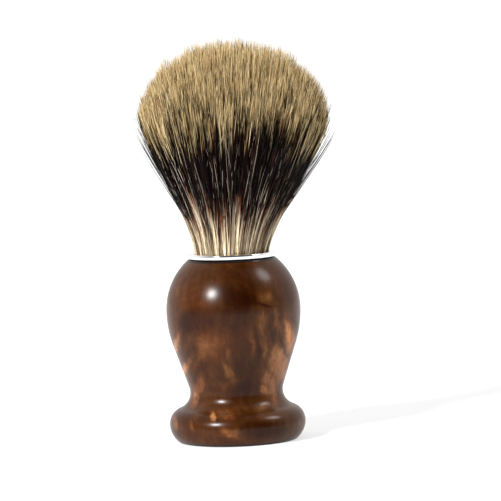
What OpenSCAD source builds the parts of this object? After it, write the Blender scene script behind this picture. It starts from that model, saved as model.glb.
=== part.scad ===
// Shaving brush: a turned wooden handle, a bright metal collar, and a hair knot
// that is bound with cord, potted in resin and bedded with glue in the handle.
// Millimetres, +Z up, origin at the middle of the face that the foot stands on.

/* [Handle] */
// Height of the seat that the collar rests on
handle_h = 50; // [46:1:54]
// Radius of the bulb at its widest
bulb_r = 18.45; // [17:0.05:19]
// Height of the widest part of the bulb
bulb_z = 36; // [35:0.5:37]
// Radius of the profile arc just under the widest part
belly_arc_r = 30; // [27:1:32]
// Lean of the straight flank above the waist, in degrees
taper = 18.8; // [18:0.2:19.6]
// Radius of the waist at its narrowest
waist_r = 12.75; // [12:0.05:13]
// Radius of the hollow arc of the waist
waist_arc_r = 4.7; // [4.3:0.1:5]
// Radius of the foot at its widest
foot_r = 18.7; // [18:0.1:20]
// Radius of the upper arc of the foot's bead
foot_arc_r = 4.5; // [4.2:0.1:4.8]
// Radius of the lower arc of the foot's bead
foot_under_arc_r = 6.2; // [6:0.1:7]
// Radius of the shallow recess turned under the foot
recess_r = 12; // [10:0.5:13]
// Depth of that recess
recess_h = 0.6; // [0.4:0.1:1]

/* [Socket] */
// Radius of the bore that takes the knot and the collar's sleeve
socket_r = 11; // [11:0.05:11.2]
// Depth of the bore below the collar's seat
socket_h = 16; // [15.5:0.5:18]
// Thickness of the glue under the knot
glue_floor = 1.5; // [1:0.1:2]
// Thickness of the glue round the knot
glue_wall = 0.6; // [0.5:0.05:0.7]

/* [Collar] */
// Radius of the collar where it meets the wood
collar_foot_r = 11.3; // [11.3:0.05:11.7]
// Radius of the lower edge of the rim
collar_edge_r = 12.25; // [12.1:0.05:12.3]
// Height of that edge above the wood, which the undercut below it fills
undercut_h = 0.45; // [0.2:0.05:0.5]
// Radius of the rim at its widest
collar_r = 12.45; // [12.4:0.05:12.8]
// Height of the rim above its seat
collar_h = 1.7; // [1.5:0.1:2]
// Radius of the rim's rounded lip
lip_r = 0.55; // [0.4:0.05:0.6]
// Bevel on the edge that the hair leans on
mouth_bevel = 0.3; // [0.2:0.05:0.5]
// Wall of the sleeve that is pressed into the bore
sleeve_wall = 0.5; // [0.4:0.05:0.55]
// Length of that sleeve
sleeve_h = 4.2; // [3:0.1:4.4]

/* [Knot] */
// Height of the resin plug that the hair is potted in
plug_h = 8.5; // [7.5:0.5:8.5]
// Thickness of resin below the ends of the hair
plug_floor = 2; // [1.5:0.1:2.5]
// Thickness of resin round the ends of the hair
plug_wall = 1; // [0.9:0.05:1.1]
// Diameter of the binding cord
cord_d = 0.6; // [0.5:0.05:0.6]
// Turns of the binding cord
cord_turns = 3; // [2:1:3]
// Radius of the hair where it leaves the collar
knot_r = 10.2; // [10:0.05:10.3]
// Height of the tip of the dome above the foot
top_z = 110; // [108:0.5:112]
// Radius of the hair at its widest
bloom_r = 25.6; // [25:0.1:26.2]
// Height of the widest part of the hair
bloom_z = 88.5; // [87:0.5:90]
// Lean of the outermost tips, in degrees
tip_lean = 14; // [12:1:17]
// Locks in the outer ring of hair
outer_locks = 14; // [8:1:18]
// Locks in the inner ring of hair
inner_locks = 9; // [6:1:12]

/* [Flex] */
// Height of the point that the hair bends about
bend_z = 52; // [51.6:0.1:52.4]
// Distance from that point at which the bending part of the hair begins
bend_r = 14; // [13.6:0.1:15]
// Gap between the fixed and the bending part of the hair
bend_gap = 0.3; // [0.3:0.05:0.5]

/* [Hidden] */
$fn = 96;

// Handle profile: where its straight flank meets the belly arc and the waist arc,
// and the centres of the waist and foot arcs, all as [radius, height].
flank_top = [bulb_r - belly_arc_r * (1 - cos(taper)), bulb_z - belly_arc_r * sin(taper)];
waist_c = [waist_r + waist_arc_r,
           flank_top[1] - (flank_top[0] - waist_r) / tan(taper) - waist_arc_r * tan(taper / 2)];
flank_foot = waist_c + waist_arc_r * [-cos(taper), sin(taper)];
foot_cx = foot_r - foot_arc_r;
foot_reach = waist_arc_r + foot_arc_r;
foot_z = waist_c[1] - sqrt(pow(foot_reach, 2) - pow(waist_c[0] - foot_cx, 2));
foot_c = [foot_cx, foot_z];
waist_foot = foot_c + (waist_c - foot_c) * foot_arc_r / foot_reach;
lap = 2;

// Heights of the layers inside the socket
socket_z = handle_h - socket_h;
plug_z = socket_z + glue_floor;
plug_top = plug_z + plug_h;
plug_r = socket_r - glue_wall;
root_r = plug_r - plug_wall;
root_z = plug_z + plug_floor;

// Collar: the centre of the lip, and where the side that leans out touches it
sleeve_r = socket_r - sleeve_wall;
rim_top = handle_h + collar_h;
edge = [collar_edge_r, handle_h + undercut_h];
lip_c = [collar_r - lip_r, rim_top - lip_r];
lip_reach = norm(lip_c - edge);
lip_angle = asin(lip_r / lip_reach);
flare = atan2(lip_c[1] - edge[1], lip_c[0] - edge[0]) - lip_angle;
flare_top = edge + lip_reach * cos(lip_angle) * [cos(flare), sin(flare)];

// Binding cord: a helix that is square to the knot's axis to within its pitch
cord_clear = 0.1;
cord_pitch = cord_d + cord_clear;
cord_r = root_r + 2 * cord_clear + cord_d / 2;
cord_steps = 24;
cord_sides = 8;
cord_z = plug_top + cord_d / 2 + cord_clear;

// Hair: every strand is one cubic curve from the collar to its tip
cord_margin = 0.5;
waist_of_hair_z = cord_z + cord_turns * cord_pitch + cord_margin;
hair_z = rim_top;
steer_z = 9.4;
steer_r = 1.12;
tip_steer = 12;
strand_steps = 12;
dome_steps = 6;
core_share = 0.4;
inner_share = 0.7;
lock_gap = 0.012;
lock_gap_deg = 1.2;

// One third-order curve
function bezier(p, t) =
    pow(1 - t, 3) * p[0] + 3 * t * pow(1 - t, 2) * p[1]
    + 3 * t * t * (1 - t) * p[2] + pow(t, 3) * p[3];
// The tip of the strand that starts at this share of the knot's radius
function tip(share) =
    [bloom_r * sin(90 * share), bloom_z + (top_z - bloom_z) * cos(90 * share)];
// The four points that steer that strand
function steer(share) = [
    [share * knot_r, hair_z],
    [share * knot_r * steer_r, hair_z + steer_z],
    tip(share) - tip_steer * [sin(tip_lean * share), cos(tip_lean * share)],
    tip(share)
];
function strand(share) = [for (i = [0:strand_steps]) bezier(steer(share), i / strand_steps)];
function reversed(list) = [for (i = [len(list) - 1:-1:0]) list[i]];
function dome(from, to) = [for (i = [1:dome_steps - 1]) tip(from + (to - from) * i / dome_steps)];

// Keeps the part of a profile between two heights
module between(low, high) {
    intersection() {
        children();
        translate([0, low]) square([2 * bloom_r, high - low]);
    }
}

// The handle's outline, from its seat down to the foot, before anything is bored out.
// Each stretch reaches a little way into its neighbours.
module handle_outline() {
    between(bulb_z - lap, handle_h)
        translate([0, bulb_z]) circle(bulb_r);
    between(flank_top[1], bulb_z)
        translate([bulb_r - belly_arc_r, bulb_z]) circle(belly_arc_r);
    polygon([[0, flank_foot[1] - lap], flank_foot, flank_top, [0, flank_top[1] + lap]]);
    between(waist_foot[1], flank_foot[1]) difference() {
        square([waist_c[0], bulb_z]);
        translate(waist_c) circle(waist_arc_r);
    }
    between(foot_z, waist_foot[1]) translate(foot_c) circle(foot_arc_r);
    between(0, foot_z) translate([foot_r - foot_under_arc_r, foot_z]) circle(foot_under_arc_r);
    square([foot_cx - lap, waist_foot[1] + lap]);
}

module handle() {
    color("saddlebrown") rotate_extrude() difference() {
        handle_outline();
        translate([0, socket_z]) square([socket_r, socket_h + 1]);
        translate([0, -1]) square([recess_r, recess_h + 1]);
    }
}

module socket_glue() {
    color("khaki") difference() {
        translate([0, 0, socket_z]) cylinder(r = socket_r, h = glue_floor + plug_h);
        translate([0, 0, plug_z]) cylinder(r = plug_r, h = plug_h + 1);
    }
}

module knot_plug() {
    color("sienna") difference() {
        translate([0, 0, plug_z]) cylinder(r = plug_r, h = plug_h);
        translate([0, 0, root_z]) cylinder(r = root_r, h = plug_h);
    }
}

// One ring of points of the cord, at an angle along the helix
function cord_ring(angle) = [for (i = [0:cord_sides - 1])
    let (a = 360 * i / cord_sides, out = cord_r + cord_d / 2 * cos(a))
    [out * cos(angle), out * sin(angle),
     cord_z + cord_pitch * angle / 360 + cord_d / 2 * sin(a)]];

module binding_cord() {
    rings = cord_turns * cord_steps;
    points = [for (i = [0:rings]) each cord_ring(i * 360 / cord_steps)];
    sides = [for (i = [0:rings - 1], k = [0:cord_sides - 1])
        let (a = i * cord_sides, next = (k + 1) % cord_sides)
        [a + k, a + cord_sides + k, a + cord_sides + next, a + next]];
    first = [for (k = [0:cord_sides - 1]) k];
    last = [for (k = [cord_sides - 1:-1:0]) rings * cord_sides + k];
    color("wheat") polyhedron(points, concat([first, last], sides));
}

module collar() {
    rim = [[sleeve_r, handle_h], [collar_foot_r, handle_h], edge, flare_top, [lip_c[0], rim_top],
           [sleeve_r + mouth_bevel, rim_top], [sleeve_r, rim_top - mouth_bevel]];
    color("silver") rotate_extrude() {
        translate([sleeve_r, handle_h - sleeve_h]) square([sleeve_wall, sleeve_h]);
        polygon(rim);
        translate(lip_c) circle(lip_r);
    }
}

// The hair between two shares of the knot's radius, as a closed profile
function ring_profile(inner, outer) =
    concat(strand(outer), dome(outer, inner), reversed(strand(inner)));

module bend_ball(gap) {
    translate([0, 0, bend_z]) sphere(bend_r - gap);
}

module hair_roots() {
    profile = concat(
        [[0, root_z], [root_r, root_z], [root_r, waist_of_hair_z]],
        strand(1), dome(1, 0), [tip(0)]);
    color("burlywood") intersection() {
        rotate_extrude() polygon(profile);
        union() {
            bend_ball(bend_gap);
            translate([0, 0, root_z]) cylinder(r = root_r, h = hair_z - root_z);
        }
    }
}

// A ring of equal locks of hair
module locks(count, inner, outer) {
    step = 360 / count;
    for (i = [0:count - 1])
        rotate(i * step)
            difference() {
                rotate_extrude(angle = step - lock_gap_deg) polygon(ring_profile(inner, outer));
                bend_ball(0);
            }
}

module hair_core() {
    color("dimgray") difference() {
        rotate_extrude() polygon(concat(strand(core_share), dome(core_share, 0), [tip(0), [0, hair_z]]));
        bend_ball(0);
    }
}

module hair_inner_ring() {
    color("tan") locks(inner_locks, core_share + lock_gap, inner_share);
}

module hair_outer_ring() {
    color("tan") locks(outer_locks, inner_share + lock_gap, 1);
}

handle();
socket_glue();
knot_plug();
binding_cord();
collar();
hair_roots();
hair_core();
hair_inner_ring();
hair_outer_ring();
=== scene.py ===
"""A shaving brush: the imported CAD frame, dressed with hair, burl wood, bright metal and studio light."""
import math

import bpy
import numpy as np
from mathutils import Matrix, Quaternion, Vector


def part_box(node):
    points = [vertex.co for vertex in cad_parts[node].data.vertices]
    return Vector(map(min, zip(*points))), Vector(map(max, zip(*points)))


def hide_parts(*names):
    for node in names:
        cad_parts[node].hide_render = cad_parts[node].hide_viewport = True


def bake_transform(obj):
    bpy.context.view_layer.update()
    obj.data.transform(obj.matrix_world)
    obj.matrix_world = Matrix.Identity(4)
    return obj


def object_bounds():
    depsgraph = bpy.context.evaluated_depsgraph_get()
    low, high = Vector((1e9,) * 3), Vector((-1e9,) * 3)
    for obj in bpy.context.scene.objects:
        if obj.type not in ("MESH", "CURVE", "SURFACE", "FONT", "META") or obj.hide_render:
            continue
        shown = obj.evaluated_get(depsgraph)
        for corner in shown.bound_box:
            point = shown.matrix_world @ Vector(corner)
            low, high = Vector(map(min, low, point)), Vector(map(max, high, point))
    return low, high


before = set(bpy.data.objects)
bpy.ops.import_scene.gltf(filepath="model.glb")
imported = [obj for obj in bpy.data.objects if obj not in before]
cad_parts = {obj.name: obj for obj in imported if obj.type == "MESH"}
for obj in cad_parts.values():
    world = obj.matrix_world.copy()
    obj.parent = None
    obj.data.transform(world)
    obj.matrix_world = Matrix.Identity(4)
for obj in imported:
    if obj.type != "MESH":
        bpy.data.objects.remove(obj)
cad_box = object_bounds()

MM = 0.001
TURN = 2 * math.pi

# ---------------------------------------------------------------------------
# Places, read from the frame
# ---------------------------------------------------------------------------
MOUTH_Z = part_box("collar")[1].z
ROOT_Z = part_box("hair_roots")[0].z
HAIR_TOP = cad_box[1].z
BLOOM_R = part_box("hair_outer_ring")[1].x
HANDLE_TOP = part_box("handle")[1].z

# ---------------------------------------------------------------------------
# Camera
# ---------------------------------------------------------------------------
# In front of the brush and a little above it, rolled by a small angle.
CAMERA_DISTANCE = 0.87
CAMERA_Z = 0.1145
AIM = Vector((0.0053, 0, 0.0519))
CAMERA_ROLL = math.radians(-2.2)
# What the picture's width takes in at CAMERA_DISTANCE.
FIELD_WIDTH = 0.1371
SENSOR_WIDTH_MM = 36
NEAR_CLIP = 0.05
FAR_CLIP = 20


def make_camera():
    data = bpy.data.cameras.new("camera")
    data.sensor_width = SENSOR_WIDTH_MM
    data.lens = SENSOR_WIDTH_MM * CAMERA_DISTANCE / FIELD_WIDTH
    data.clip_start = NEAR_CLIP
    data.clip_end = FAR_CLIP
    camera = bpy.data.objects.new("camera", data)
    bpy.context.scene.collection.objects.link(camera)
    camera.location = (AIM.x, -CAMERA_DISTANCE, CAMERA_Z)
    camera.rotation_mode = "QUATERNION"
    level = (AIM - camera.location).to_track_quat("-Z", "Y")
    camera.rotation_quaternion = level @ Quaternion((0, 0, 1), CAMERA_ROLL)
    bpy.context.scene.camera = camera


make_camera()


# ---------------------------------------------------------------------------
# Node helpers
# ---------------------------------------------------------------------------
class Nodes:
    """The nodes of a material or world, and short ways to add to them.
    A socket argument is a value or another socket."""

    def __init__(self, owner, shader):
        owner.use_nodes = True
        self.owner = owner
        self.tree = owner.node_tree
        self.shader = self.tree.nodes[shader]

    def put(self, node, socket, value):
        target = node.inputs[socket]
        if isinstance(value, bpy.types.NodeSocket):
            self.tree.links.new(value, target)
        elif target.type == "RGBA" and len(value) == 3:
            target.default_value = (*value, 1)
        else:
            target.default_value = value

    def add(self, kind, out=0, sockets=(), **settings):
        """Add a node and give back its output named or numbered out."""
        node = self.tree.nodes.new(kind)
        for name, value in settings.items():
            setattr(node, name, value)
        for socket, value in dict(sockets).items():
            self.put(node, socket, value)
        return node.outputs[out]

    def math(self, operation, a, b=0.0, c=0.0):
        return self.add("ShaderNodeMath", sockets={0: a, 1: b, 2: c}, operation=operation)

    def vector(self, operation, a, b):
        return self.add("ShaderNodeVectorMath", sockets={0: a, 1: b}, operation=operation)

    def axis(self, vector, name):
        """The X, Y or Z of a vector."""
        return self.add("ShaderNodeSeparateXYZ", name, {0: vector})

    def step(self, value, low, high):
        """0 at low, 1 at high, smooth between and flat beyond."""
        sockets = {"Value": value, "From Min": low, "From Max": high}
        return self.add("ShaderNodeMapRange", sockets=sockets, interpolation_type="SMOOTHSTEP")

    def mix(self, share, a, b, blend="MIX"):
        """Two colours mixed. Sockets 6 and 7 are the node's colours, and output 2 its mixed colour."""
        sockets = {0: share, 6: a, 7: b}
        return self.add("ShaderNodeMix", 2, sockets, data_type="RGBA", blend_type=blend)

    def noise(self, vector, scale, detail, roughness=0.5, out=0):
        """Soft noise round 0.5, with so many cells to the metre. Output 1 is three noises at once."""
        sockets = {"Vector": vector, "Scale": scale, "Detail": detail, "Roughness": roughness}
        return self.add("ShaderNodeTexNoise", out, sockets)

    def place(self):
        """The point on the object, in metres, in the object's own frame."""
        return self.add("ShaderNodeTexCoord", "Object")

    def bump(self, height, distance, strength):
        sockets = {"Height": height, "Distance": distance, "Strength": strength}
        self.put(self.shader, "Normal", self.add("ShaderNodeBump", sockets=sockets))

    def finish(self, **sockets):
        """Fill the shader's sockets, base_color for Base Color and so on, and give back the owner."""
        for name, value in sockets.items():
            self.put(self.shader, name.replace("_", " ").title().replace("Ior", "IOR"), value)
        return self.owner


def new_material(name):
    return Nodes(bpy.data.materials.new(name), "Principled BSDF")


def rgb(red, green, blue):
    """A display colour, 0 to 255, as the linear colour that shaders take."""
    return tuple(
        v / 12.92 if v <= 0.04045 else ((v + 0.055) / 1.055) ** 2.4
        for v in (red / 255, green / 255, blue / 255)
    )


def scaled(colour, red, green, blue):
    return (colour[0] * red, colour[1] * green, colour[2] * blue)


# ---------------------------------------------------------------------------
# Hair: shape
# ---------------------------------------------------------------------------
# A strand is a cubic curve. It leaves the collar steeply, within KNOT_R of the axis, and ends on
# a dome that has the radius BLOOM_R at BLOOM_Z and reaches up to HAIR_TOP.
KNOT_R = 10.2 * MM
BLOOM_Z = 88.5 * MM
# The curve's two handles: STEER_Z up and a little outward, and TIP_STEER back from the tip, which
# leans out by up to TIP_LEAN.
STEER_Z = 9.4 * MM
STEER_R = 1.12
TIP_STEER = 12 * MM
TIP_LEAN = math.radians(14)
# The strands' hidden ends in the plug, and where they pass the cord.
ROOT_R = 9.4 * MM
CORD_R = ROOT_R * 1.01
CORD_Z = (ROOT_Z + 2 * MOUTH_Z) / 3
# The knot isn't set quite true in the handle.
KNOT_LEAN = math.radians(3.2)

STRANDS = 14000
SECTORS = 8
GOLDEN_ANGLE = math.pi * (3 - math.sqrt(5))
# Shares of the free length at which a strand has its points.
STEPS = np.array([0.0, 0.1, 0.21, 0.33, 0.45, 0.57, 0.69, 0.8, 0.9, 0.96, 1.0])

# Strands are three-sided tubes. No strand runs along OFF_AXIS.
SIDES = 3
OFF_AXIS = np.array([0.31, 0.87, 0.12])
# The colour sheet has one kind of strand in each column. Tubes keep clear of its edges.
COLUMNS = 128
COLUMN_MARGIN = 0.12
SHEET_MARGIN = 0.002

rng = np.random.default_rng(21)


def sunflower(count, jitter):
    """Points spread evenly over a disc: their share of its radius and their angle."""
    n = np.arange(count) + 0.5
    share = np.sqrt(n / count)
    angle = n * GOLDEN_ANGLE
    x = share * np.cos(angle) + rng.normal(0, jitter, count)
    y = share * np.sin(angle) + rng.normal(0, jitter, count)
    return np.minimum(np.hypot(x, y), 1.0), np.arctan2(y, x)


def tip_of(share):
    """Radius and height of the dome where a strand from this share of the knot's radius ends."""
    turn = share * math.pi / 2
    return BLOOM_R * np.sin(turn), BLOOM_Z + (HAIR_TOP - BLOOM_Z) * np.cos(turn)


def cubic(t, start, first, second, end):
    return (1 - t) ** 3 * start + 3 * t * (1 - t) ** 2 * first + 3 * t**2 * (1 - t) * second + t**3 * end


def strand_path(share, angle, steps):
    """Points (strand, step, xyz) of strands that leave the collar at these places."""
    share, t = share[:, None], steps[None, :]
    tip_r, tip_z = tip_of(share)
    lean = TIP_LEAN * share
    start_r = share * KNOT_R
    r = cubic(t, start_r, start_r * STEER_R, tip_r - TIP_STEER * np.sin(lean), tip_r)
    z = cubic(t, MOUTH_Z, MOUTH_Z + STEER_Z, tip_z - TIP_STEER * np.cos(lean), tip_z)
    return np.stack([r * np.cos(angle)[:, None], r * np.sin(angle)[:, None], z], axis=2)


def with_roots(path, share, angle):
    """The path with two points put before it: the cut end in the plug, and one by the cord."""
    parts = []
    for r, z in ((ROOT_R, ROOT_Z), (CORD_R, CORD_Z)):
        x, y = share * r * np.cos(angle), share * r * np.sin(angle)
        parts.append(np.stack([x, y, np.full_like(x, z)], axis=1)[:, None, :])
    return np.concatenate([*parts, path], axis=1)


def leaned(path):
    """The path with its free length turned by KNOT_LEAN about the collar's mouth.
    The turn comes in over the last millimetre below the mouth."""
    x, rise = path[:, :, 0], path[:, :, 2] - MOUTH_Z
    free = np.clip(rise / MM + 1, 0, 1)
    cos, sin = math.cos(KNOT_LEAN), math.sin(KNOT_LEAN)
    turned = np.stack([x * cos + rise * sin, path[:, :, 1], MOUTH_Z + rise * cos - x * sin], axis=2)
    return path + free[:, :, None] * (turned - path)


def unit(v):
    return v / np.maximum(np.linalg.norm(v, axis=-1, keepdims=True), 1e-12)


def tube_points(path, radius):
    """The corners of tubes round these paths: ring by ring, and each tube's pointed tip last."""
    count = len(path)
    along = unit(np.gradient(path, axis=1))
    side = unit(np.cross(along, OFF_AXIS))
    other = np.cross(along, side)
    turn = rng.uniform(0, TURN, (count, 1, 1))
    corners = []
    for k in range(SIDES):
        a = turn + TURN * k / SIDES
        corners.append(path + radius[:, :, None] * (np.cos(a) * side + np.sin(a) * other))
    tube = np.stack(corners, axis=2)[:, :-1].reshape(count, -1, 3)
    return np.concatenate([tube, path[:, -1:, :]], axis=1)


def tube_faces(rings):
    """One tube's faces, closed at both ends: the number of corners in each face, and for each
    corner its point, its place across the column of the colour sheet, and its ring."""
    left, middle, right = COLUMN_MARGIN, 0.5, 1 - COLUMN_MARGIN
    sizes, points, across, ring_of = [], [], [], []

    def face(*corners):
        sizes.append(len(corners))
        for point, place, ring in corners:
            points.append(point)
            across.append(place)
            ring_of.append(ring)

    last = rings - 2
    for j in range(last):
        low, high = SIDES * j, SIDES * (j + 1)
        for k in range(SIDES):
            n = (k + 1) % SIDES
            face((low + k, left, j), (low + n, right, j), (high + n, right, j + 1), (high + k, left, j + 1))
    low, tip = SIDES * last, SIDES * (last + 1)
    for k in range(SIDES):
        face((low + k, left, last), (low + (k + 1) % SIDES, right, last), (tip, middle, last + 1))
    face((0, left, 0), (2, right, 0), (1, middle, 1))
    return np.array(sizes), np.array(points), np.array(across), np.array(ring_of)


def strand_mesh(name, path, radius, column, height, material):
    """Tapered tubes as one object.
    Each runs up one column of the colour sheet, OFBake, at the height given for its points."""
    count, rings = radius.shape
    points = tube_points(path, radius)
    per_strand = points.shape[1]
    sizes, corner_points, across, ring_of = tube_faces(rings)
    offsets = (np.arange(count) * per_strand)[:, None]
    corner_vertex = (corner_points[None, :] + offsets).ravel()
    sheet_height = (height - ROOT_Z) / (HAIR_TOP - ROOT_Z)
    sheet_height = np.clip(sheet_height, SHEET_MARGIN, 1 - SHEET_MARGIN)
    u = ((column[:, None] + across[None, :]) / COLUMNS).ravel()
    v = sheet_height[:, ring_of].ravel()
    sizes = np.tile(sizes, count)
    starts = np.concatenate([[0], np.cumsum(sizes)[:-1]])

    mesh = bpy.data.meshes.new(name)
    mesh.vertices.add(count * per_strand)
    mesh.vertices.foreach_set("co", points.astype(np.float32).ravel())
    mesh.loops.add(len(corner_vertex))
    mesh.loops.foreach_set("vertex_index", corner_vertex.astype(np.int32))
    mesh.polygons.add(len(sizes))
    mesh.polygons.foreach_set("loop_start", starts.astype(np.int32))
    mesh.polygons.foreach_set("use_smooth", np.ones(len(sizes), bool))
    mesh.update(calc_edges=True)
    layer = mesh.uv_layers.new(name="OFBake")
    layer.data.foreach_set("uv", np.stack([u, v], axis=1).astype(np.float32).ravel())
    mesh.materials.append(material)
    piece = bpy.data.objects.new(name, mesh)
    bpy.context.scene.collection.objects.link(piece)
    return piece


# ---------------------------------------------------------------------------
# Hair: colour
# ---------------------------------------------------------------------------
# Heights where the dark band begins and ends, and how softly.
LOW_EDGE = 60.9 * MM
HIGH_EDGE = 86.5 * MM
SOFT = 2.5 * MM
# How a tip's colour differs in a tawny strand, and in a frosted one.
TAWNY = (0.6, 0.47, 0.32)
FROSTED = (1.1, 1.15, 1.25)
# How dark the darkest tips are beside tawny ones, and a singed band beside the singed zone.
DARK_TIP = 0.13
SINGED_BAND = 0.4


def hair_material(name, root, singe, band, tip, specular):
    """Banded hair: pale root, dark band and pale tip, with a thin reddish zone where the band begins.
    Its colour sheet runs up the strand, with one kind of strand in each column."""
    m = new_material(name)
    sheet = m.add("ShaderNodeUVMap", uv_map="OFBake")
    column = m.math("FLOOR", m.math("MULTIPLY", m.axis(sheet, "X"), COLUMNS))
    height = m.math("MULTIPLY_ADD", m.axis(sheet, "Y"), HAIR_TOP - ROOT_Z, ROOT_Z)

    def chance(seed):
        """A number from 0 to 1 for each column, and other ones for each seed."""
        return m.add("ShaderNodeTexWhiteNoise", 0, {"W": m.math("ADD", column, seed)}, noise_dimensions="1D")

    # Of the tips, two in three are more or less tawny, a quarter more or less frosted, and one in
    # six is dark. One band in seven is more or less singed.
    tawny = scaled(tip, *TAWNY)
    dark = scaled(tawny, DARK_TIP, DARK_TIP, DARK_TIP)
    tips = m.mix(m.step(chance(0.5), 0.35, 1.0), tip, tawny)
    tips = m.mix(m.step(chance(200.5), 0.75, 0.95), tips, scaled(tip, *FROSTED))
    tips = m.mix(m.math("GREATER_THAN", chance(400.5), 0.84), tips, dark)
    singed = scaled(singe, SINGED_BAND, SINGED_BAND, SINGED_BAND)
    bands = m.mix(m.step(chance(800.5), 0.86, 1.0), band, singed)
    lower = m.mix(m.step(height, LOW_EDGE - 3.2 * SOFT, LOW_EDGE + 0.3 * SOFT), root, singe)
    lower = m.mix(m.step(height, LOW_EDGE - 1.2 * SOFT, LOW_EDGE + 1.2 * SOFT), lower, bands)
    colour = m.mix(m.step(height, HIGH_EDGE - SOFT, HIGH_EDGE + SOFT), lower, tips)
    # Each kind of strand is 0.6 to 1.3 times as bright.
    shade = m.math("MULTIPLY_ADD", chance(600.5), 0.7, 0.6)
    shade = m.add("ShaderNodeCombineColor", 0, {0: shade, 1: shade, 2: shade})
    colour = m.mix(1.0, colour, shade, "MULTIPLY")
    return m.finish(base_color=colour, roughness=0.5, specular_ior_level=specular)


badger_hair = hair_material(
    "badger_hair", root=rgb(255, 242, 208), singe=rgb(150, 88, 56), band=rgb(16, 6, 4),
    tip=rgb(222, 198, 148), specular=0.07,
)
guard_hair = hair_material(
    "guard_hair", root=rgb(236, 216, 184), singe=rgb(176, 148, 122), band=rgb(204, 188, 170),
    tip=rgb(230, 212, 172), specular=0.1,
)
stray_hair = hair_material(
    "stray_hair", root=rgb(120, 98, 76), singe=rgb(60, 46, 38), band=rgb(30, 26, 26),
    tip=rgb(52, 48, 48), specular=0.1,
)


# ---------------------------------------------------------------------------
# Hair: the knot
# ---------------------------------------------------------------------------
# Coarse bundles at the collar, then fine tufts at the tips: how many there are, and how
# strongly each draws its strands in at these shares of the free length.
CLUMPS = (
    (170, (0, 0.15, 0.5), (0.62, 0.5, 0.0)),
    (1000, (0.1, 0.5, 0.9, 1), (0.0, 0.45, 0.46, 0.32)),
)
STRAND_JITTER = 0.004
CLUMP_JITTER = 0.018
CLUMP_SCATTER = 0.5 * MM

# Each strand wavers and spreads a little. It wavers less where the collar holds it.
WAVER = 0.26 * MM
WAVES = (1.2, 2.4)
WAVER_ALONG = ((0, 0.15, 0.5, 1), (0.1, 0.35, 0.8, 1))
SPREAD = 0.55 * MM

# By itself, a strand reaches at most LONGEST of the way to the dome, and falls short of that by
# about STRAND_SHORTFALL. Whole clumps end higher or lower by about CLUMP_REACH.
LONGEST = 1.014
STRAND_SHORTFALL = 0.02
CLUMP_REACH = 0.008

# Thickness along a strand, in millimetres, and how far strands differ in it.
GIRTH_ALONG = ((0, 0.3, 0.65, 0.9, 1), (0.07, 0.08, 0.11, 0.07, 0.025))
GIRTH_RANGE = (0.75, 1.25)

# The band's lower edge wanders by the early values and its upper edge by the late ones, from
# clump to clump, from strand to strand, and across the knot from left to right (millimetres).
CLUMP_EARLY = 2.4 * MM
CLUMP_LATE = 2.6 * MM
STRAND_EARLY = 3.4 * MM
STRAND_LATE = 4.2 * MM
EARLY_ACROSS = ((-0.8, -0.45, 0, 0.35, 0.75), (1.2, 1.2, -0.8, 1, 3.6))
LATE_ACROSS = ((-0.9, -0.65, -0.4, 0, 0.36, 0.75), (-6, -2, 3, 4, 1, -2.5))
BAND_MIDDLE = (LOW_EDGE + HIGH_EDGE) / 2
EARLY_TO_LATE = 8 * MM


def nearest(place, hearts):
    return ((place[:, None, :] - hearts[None, :, :]) ** 2).sum(axis=2).argmin(axis=1)


def flat(share, angle):
    return np.stack([share * np.cos(angle), share * np.sin(angle)], axis=1)


def spread_out(path, amount):
    """Scatter the paths sideways, more and more towards their tips."""
    path[:, :, :2] += rng.normal(0, amount, (len(path), 1, 2)) * STEPS[None, :, None] ** 2


def make_knot():
    """The bulb of hair, in equal sectors so that no piece is too large to export whole."""
    share, angle = sunflower(STRANDS, STRAND_JITTER)
    place = flat(share, angle)
    path = strand_path(share, angle, STEPS)
    late = np.zeros(STRANDS)
    early = np.zeros(STRANDS)
    reach = LONGEST - np.abs(rng.normal(0, STRAND_SHORTFALL, STRANDS))
    for count, along, pulls in CLUMPS:
        pull = np.interp(STEPS, along, pulls)
        heart_share, heart_angle = sunflower(count, CLUMP_JITTER)
        heart = strand_path(heart_share, heart_angle, STEPS)
        spread_out(heart, CLUMP_SCATTER)
        clump = nearest(place, flat(heart_share, heart_angle))
        path += pull[None, :, None] * (heart[clump] - path)
        late += rng.normal(0, CLUMP_LATE, count)[clump]
        early += rng.normal(0, CLUMP_EARLY, count)[clump]
        reach += rng.normal(0, CLUMP_REACH, count)[clump]

    cycles = rng.uniform(*WAVES, (STRANDS, 1, 1))
    phase = rng.uniform(0, TURN, (STRANDS, 1, 1))
    wave = np.sin(phase + TURN * cycles * STEPS[None, :, None])
    loose = np.interp(STEPS, *WAVER_ALONG)[None, :, None]
    path += rng.normal(0, WAVER, (STRANDS, 1, 3)) * wave * loose
    spread_out(path, SPREAD)
    path = path[:, :1] + (path - path[:, :1]) * (1 + (reach - 1)[:, None, None] * STEPS[None, :, None])

    thick = rng.uniform(*GIRTH_RANGE, (STRANDS, 1))
    girth = np.interp(STEPS, *GIRTH_ALONG) * MM
    radius = thick * np.concatenate([girth[:1], girth[:1], girth])[None, :]
    path = with_roots(path, share, angle)

    late += rng.normal(0, STRAND_LATE, STRANDS)
    late += np.interp(place[:, 0], *LATE_ACROSS) * MM
    early += rng.normal(0, STRAND_EARLY, STRANDS)
    early += np.interp(place[:, 0], *EARLY_ACROSS) * MM
    upper = np.clip((path[:, :, 2] - BAND_MIDDLE) / EARLY_TO_LATE + 0.5, 0, 1)
    height = path[:, :, 2] - upper * late[:, None] - (1 - upper) * early[:, None]

    column = rng.integers(0, COLUMNS, STRANDS)
    sector = np.floor(angle % TURN / TURN * SECTORS).astype(int)
    pieces = []
    for k in range(SECTORS):
        own = sector == k
        pieces.append(strand_mesh(
            f"hair_sector_{k + 1}", leaned(path[own]), radius[own], column[own], height[own], badger_hair,
        ))
    return pieces


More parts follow.
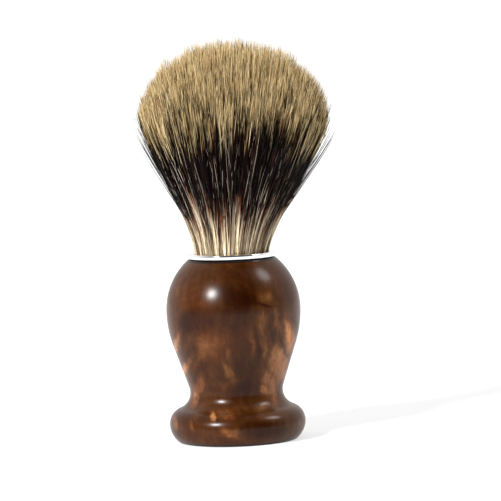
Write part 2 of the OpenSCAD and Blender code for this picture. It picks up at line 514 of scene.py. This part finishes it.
# Thickness along a loose hair, as a share of its girth, and how far hairs differ in it.
LOOSE_TAPER = ((0, 0.4, 0.85, 1), (0.8, 1, 0.8, 0.3))
LOOSE_GIRTH_RANGE = (0.7, 1.2)


def loose_hairs(name, count, share, proud, leave, drift, reach, girth, material):
    """Single hairs that lie over the knot or stand away from it.
    Each rises the share of its strand's length called reach, and drifts sideways by about drift
    radians. From the share called leave on, it stands away by up to the distance called proud."""
    share = rng.uniform(*share, count)
    angle = rng.uniform(0, TURN, count)
    t = rng.uniform(*reach, (count, 1)) * STEPS[None, :]
    parts = [strand_path(share[k:k + 1], angle[k:k + 1], t[k]) for k in range(count)]
    path = np.concatenate(parts, axis=0)
    out = rng.uniform(*proud, (count, 1)) * np.clip((t - leave) / (1 - leave), 0, 1)
    turn = rng.normal(0, drift, (count, 1)) * t
    turn += rng.normal(0, drift / 3, (count, 1)) * np.sin(math.pi * t)
    radius = np.hypot(path[:, :, 0], path[:, :, 1]) + out
    around = angle[:, None] + turn
    path = np.stack([radius * np.cos(around), radius * np.sin(around), path[:, :, 2]], axis=2)
    thick = girth * rng.uniform(*LOOSE_GIRTH_RANGE, (count, 1))
    taper = np.interp(STEPS, *LOOSE_TAPER)
    radius = thick * np.concatenate([taper[:1], taper[:1], taper])[None, :]
    path = leaned(with_roots(path, share, angle))
    column = rng.integers(0, COLUMNS, count)
    return strand_mesh(name, path, radius, column, path[:, :, 2], material)


HAIR_NODES = ("hair_roots", "hair_core", "hair_inner_ring", "hair_outer_ring")

hair_pieces = make_knot()
hair_pieces.append(loose_hairs(
    "guard_hairs", 400, share=(0.86, 1.0), proud=(0, 0.8 * MM), leave=0.1, drift=0.24,
    reach=(0.5, 0.95), girth=0.062 * MM, material=guard_hair,
))
hair_pieces.append(loose_hairs(
    "stray_hairs", 170, share=(0.97, 1.0), proud=(1.0 * MM, 6.0 * MM), leave=0.3, drift=0.07,
    reach=(0.7, 1.0), girth=0.08 * MM, material=stray_hair,
))
for piece in hair_pieces:
    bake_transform(piece)
    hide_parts(*HAIR_NODES)


# ---------------------------------------------------------------------------
# CAD pieces: materials
# ---------------------------------------------------------------------------
# The wood's figure on the front of the handle: patches in millimetres as the
# camera sees them, each with its middle (x, z), half width and half height, lean in degrees, and
# how much lighter or darker it is. FIGURE_DEPTH is their least half depth, into the wood.
FIGURE = (
    (2.2, 42.4, 6, 9, 12, -0.14),
    (1.4, 39, 4.8, 3, 18, -0.17),
    (4.4, 38, 2.6, 1.8, 0, -0.12),
    (-0.6, 33, 6.5, 4.4, 0, -0.16),
    (-10.8, 33, 7, 3.4, -8, -0.24),
    (-14.2, 29.6, 1.7, 5.5, 12, -0.13),
    (-12, 24, 1.7, 6.5, 22, -0.16),
    (-9.2, 18.4, 1.7, 6.5, 20, -0.16),
    (0.8, 26, 2.6, 5.4, 0, -0.1),
    (3, 19, 3.4, 6, 0, -0.12),
    (1.6, 13, 4.4, 3.2, 0, -0.22),
    (-8.5, 27.2, 4.8, 2, -4, 0.12),
    (-7.8, 24.4, 2.4, 3, 20, 0.14),
    (-4.2, 26.6, 2.4, 2.2, 0, 0.06),
    (-1.6, 23.6, 0.9, 1.9, -10, 0.16),
    (-2.2, 18.6, 1.3, 3.4, -24, 0.2),
    (-3.6, 14.8, 1.4, 1.8, -20, 0.12),
    (4.6, 26, 0.8, 5.5, 2, 0.14),
    (6.2, 25, 0.6, 6, -2, -0.1),
    (7.8, 26, 1.1, 5, -2, 0.16),
    (7.9, 32.2, 1.8, 3.6, -4, 0.22),
    (8.6, 38.8, 2.6, 1.5, -15, 0.2),
    (8.4, 36.7, 2.6, 0.5, 6, -0.24),
    (12, 38, 3, 5, 0, 0.03),
    (10.2, 30, 0.6, 5, -4, -0.08),
    (12.1, 31, 0.9, 4.6, -6, 0.16),
    (15.4, 26.4, 2.6, 9, -10, 0.44),
    (14.4, 29.4, 1, 4.2, -6, 0.16),
    (12.2, 20.5, 2.6, 8.5, -16, 0.46),
    (9.2, 14.8, 2.4, 6.5, -16, 0.36),
    (9.6, 20.4, 1, 7, -22, 0.14),
    (7.2, 12.6, 1.3, 2.6, -20, 0.28),
    (13.2, 25, 0.5, 6, -16, -0.14),
    (-16.2, 26, 1.1, 8, 18, 0.36),
    (-13.6, 19.8, 1.2, 8, 24, 0.36),
    (-10.6, 14.2, 1.3, 7, 22, 0.34),
    (-14.6, 40.6, 2.4, 5, 0, 0.06),
    (-6.9, 6, 0.8, 1.3, 0, 0.44),
    (-3.2, 7.4, 4, 1.4, 0, 0.2),
    (7, 8.6, 2, 1, 0, 0.16),
    (-1.8, 1.2, 4, 1.6, 0, 0.26),
    (-4.4, 2.4, 1.4, 1.2, 0, 0.12),
    (-17.2, 5, 0.9, 2.8, 0, 0.36),
    (-12.4, 3.8, 0.6, 1.8, 0, 0.16),
    (-14, 6.4, 3, 2.4, 0, -0.12),
    (2.8, 5.8, 3.6, 2.4, 0, -0.16),
    (6.6, 2.2, 8, 2.5, 0, -0.28),
)
FIGURE_DEPTH = 9.0
# A patch is whole within the first share of its half sizes, and gone beyond the second.
PATCH_CORE = 0.3
PATCH_RIM = 1.35

# The wood's colour at each tone.
WOOD_TONES = (
    (0, (32, 7, 0)), (0.2, (43, 16, 1)), (0.4, (60, 30, 7)), (0.55, (77, 42, 16)),
    (0.7, (103, 62, 32)), (0.85, (144, 97, 62)), (1, (190, 128, 76)),
)
BASE_TONE = 0.46
# How far the broad noise moves the tone: behind, and how much less of that in front, where the
# figure takes its place.
BROAD = 0.5
LESS_IN_FRONT = -0.36
STREAKS = 0.46
MOTTLE = 0.16
# Streaks and pores are long and narrow: their noise is slowed down along the handle.
STREAK_STRETCH = (1, 1, 0.12)
PORE_STRETCH = (1, 1, 0.2)
# The wood is redder in some places and greyer in others.
WARM = (1.06, 0.97, 0.86)
COOL = (0.94, 1.01, 1.0)


def swirled(m, place, scale, detail, distance):
    """The place moved by noise, to draw whatever is placed by it into swirls."""
    swirl = m.vector("SUBTRACT", m.noise(place, scale, detail, 0.6, out=1), (0.5, 0.5, 0.5))
    return m.vector("ADD", place, m.vector("MULTIPLY", swirl, (distance, distance, distance)))


def figured(m, tone, place):
    """The tone with the patches of FIGURE added where the camera sees them on the handle."""
    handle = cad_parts["handle"]
    eye = bpy.context.scene.camera.location
    for x, z, half_width, half_height, lean, lighter in FIGURE:
        _, spot, _, _ = handle.ray_cast(eye, Vector((x * MM, 0, z * MM)) - eye)
        patch = m.add("ShaderNodeMapping", sockets={
            "Vector": place, "Location": spot, "Rotation": (0, math.radians(lean), 0),
            "Scale": (half_width * MM, max(half_width, FIGURE_DEPTH) * MM, half_height * MM),
        }, vector_type="TEXTURE")
        away = m.add("ShaderNodeVectorMath", "Value", {0: patch}, operation="LENGTH")
        tone = m.math("MULTIPLY_ADD", m.step(away, PATCH_RIM, PATCH_CORE), lighter, tone)
    return tone


def wood_colour(m, tone):
    ramp = m.add("ShaderNodeValToRGB", sockets={0: tone})
    stops = ramp.node.color_ramp.elements
    for position, _ in WOOD_TONES[1:-1]:
        stops.new(position)
    for stop, (_, colour) in zip(stops, WOOD_TONES):
        stop.color = (*rgb(*colour), 1)
    return ramp


def wood_material():
    """Burl: patches and swirls of brown, dark to tan, with fine grain, pores and a satin oil finish, and
    painted shadow lines under the collar and at the foot.
    """
    m = new_material("burl_wood")
    place = m.place()
    # The figure and the grain are bent a little, and the broad patches a lot.
    near = swirled(m, place, scale=130, detail=2, distance=3.6 * MM)
    near = swirled(m, near, scale=700, detail=3, distance=1.1 * MM)
    far = swirled(m, place, scale=45, detail=3, distance=26 * MM)
    far = swirled(m, far, scale=220, detail=3, distance=4 * MM)

    def varied(tone, noise, amount):
        """The tone moved up or down by noise that lies round 0.5."""
        return m.math("MULTIPLY_ADD", m.math("SUBTRACT", noise, 0.5), amount, tone)

    front = m.step(m.axis(place, "Y"), 2 * MM, -8 * MM)
    broad = m.step(m.noise(far, scale=62, detail=4, roughness=0.55), 0.3, 0.72)
    tone = varied(BASE_TONE, broad, m.math("MULTIPLY_ADD", front, LESS_IN_FRONT, BROAD))
    tone = figured(m, tone, near)
    drawn_out = m.vector("MULTIPLY", near, STREAK_STRETCH)
    tone = varied(tone, m.noise(drawn_out, scale=560, detail=5, roughness=0.62), STREAKS)
    tone = varied(tone, m.noise(far, scale=500, detail=5, roughness=0.65), MOTTLE)

    tint = m.mix(m.step(m.noise(far, scale=90, detail=2), 0.35, 0.65), WARM, COOL)
    colour = m.mix(1.0, wood_colour(m, tone), tint, "MULTIPLY")
    drawn_out = m.vector("MULTIPLY", near, PORE_STRETCH)
    pores = m.step(m.noise(drawn_out, scale=3200, detail=2), 0.6, 0.72)
    colour = m.mix(m.math("MULTIPLY", pores, 0.3), colour, rgb(30, 12, 5))
    # Painted shadow: dark lines painted where the collar is seated and where the foot meets what it stands
    # on, in place of the shade under the collar's rim and the contact shadow under the foot.
    height = m.axis(place, "Z")
    collar_seat_shadow = m.step(height, HANDLE_TOP - 0.6 * MM, HANDLE_TOP - 0.3 * MM)
    foot_contact_shadow = m.step(height, 0.9 * MM, 0.2 * MM)
    # rgb(14, 7, 3) is the colour of these painted shadow lines.
    colour = m.mix(m.math("MULTIPLY", m.math("MAXIMUM", collar_seat_shadow, foot_contact_shadow), 0.9), colour, rgb(14, 7, 3))
    ripple = m.noise(place, scale=260, detail=3)
    m.bump(m.math("MULTIPLY_ADD", pores, -0.25, ripple), distance=0.04 * MM, strength=0.5)
    return m.finish(
        base_color=colour, roughness=0.6, specular_ior_level=0.0,
        coat_weight=0.75, coat_roughness=0.24, coat_ior=1.33,
    )


def metal_material():
    m = new_material("bright_metal")
    grain = m.noise(m.place(), scale=900, detail=3)
    m.bump(grain, distance=0.002 * MM, strength=0.1)
    rough = m.math("MULTIPLY_ADD", grain, 0.05, 0.05)
    return m.finish(base_color=(0.93, 0.93, 0.94), metallic=1.0, roughness=rough)


def plain_material(name, dark, light, scale, roughness):
    """One colour, uneven in grain: noise with scale cells to the metre takes it from dark to light."""
    m = new_material(name)
    grain = m.noise(m.place(), scale, detail=4)
    m.bump(grain, distance=0.03 * MM, strength=0.4)
    return m.finish(base_color=m.mix(grain, dark, light), roughness=roughness)


def dress(node, material):
    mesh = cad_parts[node].data
    mesh.materials.clear()
    mesh.materials.append(material)


dress("handle", wood_material())
dress("collar", metal_material())
dress("knot_plug", plain_material("amber_resin", rgb(92, 52, 20), rgb(150, 96, 40), 500, 0.3))
dress("socket_glue", plain_material("cured_glue", rgb(190, 178, 140), rgb(214, 204, 170), 700, 0.55))
dress("binding_cord", plain_material("waxed_cord", rgb(190, 168, 126), rgb(226, 208, 170), 2500, 0.8))


# ---------------------------------------------------------------------------
# Stage and light
# ---------------------------------------------------------------------------
FLOOR_SIDE = 6.0


def make_floor():
    """A pale floor that glows a little, so that it melts into the white behind it."""
    half = FLOOR_SIDE / 2
    mesh = bpy.data.meshes.new("floor")
    corners = [(-half, -half, 0), (half, -half, 0), (half, half, 0), (-half, half, 0)]
    mesh.from_pydata(corners, [], [(0, 1, 2, 3)])
    floor = bpy.data.objects.new("floor", mesh)
    bpy.context.scene.collection.objects.link(floor)
    mesh.materials.append(new_material("pale_floor").finish(
        base_color=(0.5, 0.5, 0.5), roughness=1.0, specular_ior_level=0.0,
        emission_color=(1, 1, 1), emission_strength=0.55,
    ))


def soft_light(name, direction, spread, strength):
    """Light that comes from this direction, from a distant soft box this many degrees across."""
    data = bpy.data.lights.new(name, "SUN")
    data.angle = math.radians(spread)
    data.energy = strength
    lamp = bpy.data.objects.new(name, data)
    bpy.context.scene.collection.objects.link(lamp)
    lamp.rotation_mode = "QUATERNION"
    lamp.rotation_quaternion = Vector(direction).to_track_quat("Z", "Y")


def make_world(front, back, seen):
    """White studio walls behind the brush and to its sides, as bright as back, and a dim room
    before it, as bright as front. What the camera sees of the world is plain white, as bright as seen."""
    world = Nodes(bpy.data.worlds.new("studio"), "Background")
    toward = world.add("ShaderNodeTexCoord", "Generated")
    walls = world.add("ShaderNodeMapRange", sockets={
        "Value": world.axis(toward, "Y"), "From Min": -0.6, "From Max": 0.4,
        "To Min": front, "To Max": back,
    }, interpolation_type="SMOOTHSTEP")
    # Sockets 2 and 3 are the mix node's two numbers, and output 0 the mixed number.
    camera_sees = world.add("ShaderNodeLightPath", "Is Camera Ray")
    strength = world.add("ShaderNodeMix", 0, {0: camera_sees, 2: walls, 3: seen}, data_type="FLOAT")
    bpy.context.scene.world = world.finish(color=(1, 1, 1), strength=strength)


make_floor()
soft_light("key_light", direction=(-0.57, -0.66, 0.49), spread=12, strength=4.6)
soft_light("side_light", direction=(0.68, -0.04, 0.73), spread=18, strength=0.95)
make_world(front=0.06, back=1.0, seen=1.1)
bpy.context.scene.view_settings.view_transform = "Standard"
